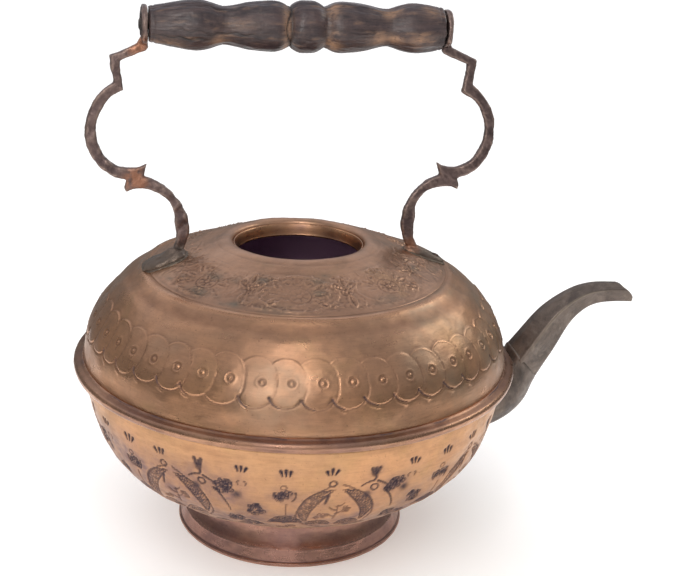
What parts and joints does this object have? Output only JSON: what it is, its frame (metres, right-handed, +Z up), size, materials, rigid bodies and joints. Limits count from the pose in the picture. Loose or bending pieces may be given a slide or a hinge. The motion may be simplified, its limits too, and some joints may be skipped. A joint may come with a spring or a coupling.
{
  "type": "kettle",
  "caption": "Squat copper kettle with embossed dome, chased bowl, folded seam, ring foot, faceted spout and a fixed overhead handle with a turned wooden grip that spins on its rod.",
  "frame": {"origin": "centre of the foot's resting face", "axes": "+Z up, +X towards the spout's lip, handle and spout in the XZ plane, +Y to the side away from a viewer who has the spout on the right"},
  "size_m": [0.3286, 0.25, 0.3008],
  "materials": {
    "embossed_copper": "aged copper sheet, embossed scales and relief, satin",
    "chased_copper": "aged copper sheet, chased ornament with dark patina in the lines",
    "seam_copper": "aged copper strip, worn brighter at its lip",
    "collar_copper": "aged copper ring, satin",
    "foot_copper": "dark aged copper, bright at step and rim",
    "spout_copper": "dark brown patina with lighter ridges",
    "handle_metal": "dark patina on cast copper alloy, orange where worn",
    "rivet_copper": "dark aged copper, hammered",
    "washer_metal": "dark aged sheet",
    "iron_wire": "dark iron wire",
    "iron_rod": "dark iron, hammered ends",
    "grip_wood": "dark turned hardwood, worn sheen with paler rubbed patches"
  },
  "bodies": {
    "kettle": {"lower_bowl": "chased_copper", "upper_shell": "embossed_copper", "seam_band": "seam_copper", "mouth_collar": "collar_copper", "ring_foot": "foot_copper", "foot_rim_wire": "iron_wire", "spout_root": "spout_copper", "spout_beak": "spout_copper", "grip_rod": "iron_rod", "rear_arm": "handle_metal", "rear_foot_pad": "handle_metal", "rear_foot_rivets": "rivet_copper", "rear_rivet_roves": "rivet_copper", "rear_rod_washer": "washer_metal", "front_arm": "handle_metal", "front_foot_pad": "handle_metal", "front_foot_rivets": "rivet_copper", "front_rivet_roves": "rivet_copper", "front_rod_washer": "washer_metal"},
    "grip": {"wooden_grip": "grip_wood"}
  },
  "joints": [
    {"name": "grip_spin", "type": "hinge", "parent": "kettle", "child": "grip", "pos_m": [-0.0035, 0, 0.2872], "axis": [1, 0, 0], "continuous": true}
  ]
}
